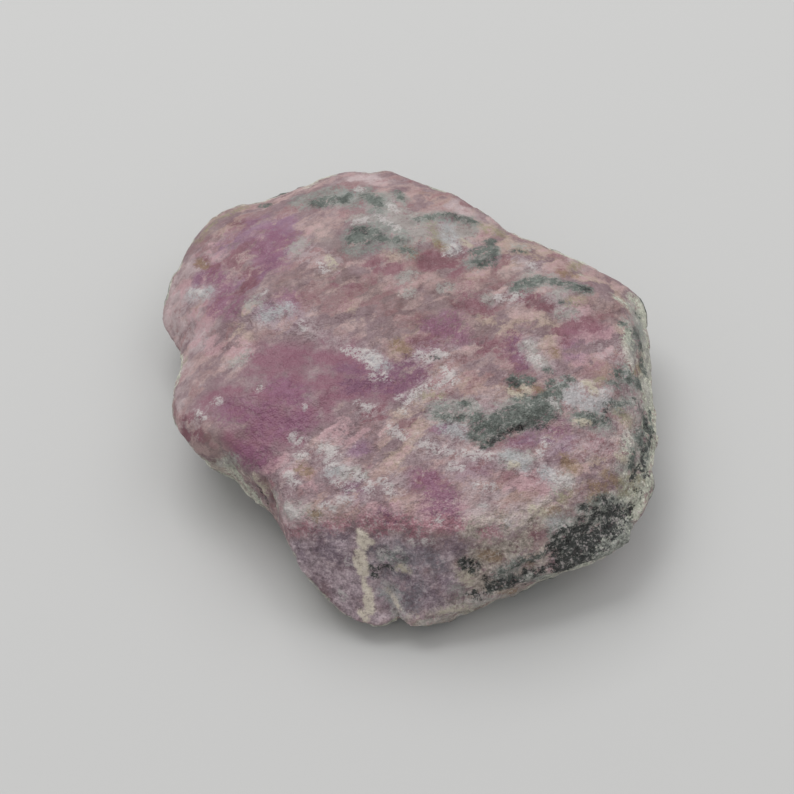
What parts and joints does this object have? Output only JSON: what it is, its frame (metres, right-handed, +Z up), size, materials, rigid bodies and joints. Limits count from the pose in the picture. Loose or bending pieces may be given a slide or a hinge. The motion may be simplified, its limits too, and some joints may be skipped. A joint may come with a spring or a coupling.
{
  "type": "raw ruby crystal",
  "caption": "Rough lump of raw ruby in its host rock, with a broad top face, faceted walls and a flat break to rest on.",
  "frame": {"origin": "middle of the bounding box at the level of the flat break that the stone rests on", "axes": "+Z up from the flat break, which is the stone's shortest way; +Y towards the back, away from the steep front face; +X to the right seen from the front"},
  "size_m": [0.0496, 0.0518, 0.014],
  "materials": {
    "ruby_rock": "rough broken stone"
  },
  "bodies": {
    "root": {"ruby_crystal": "ruby_rock"}
  },
  "joints": []
}
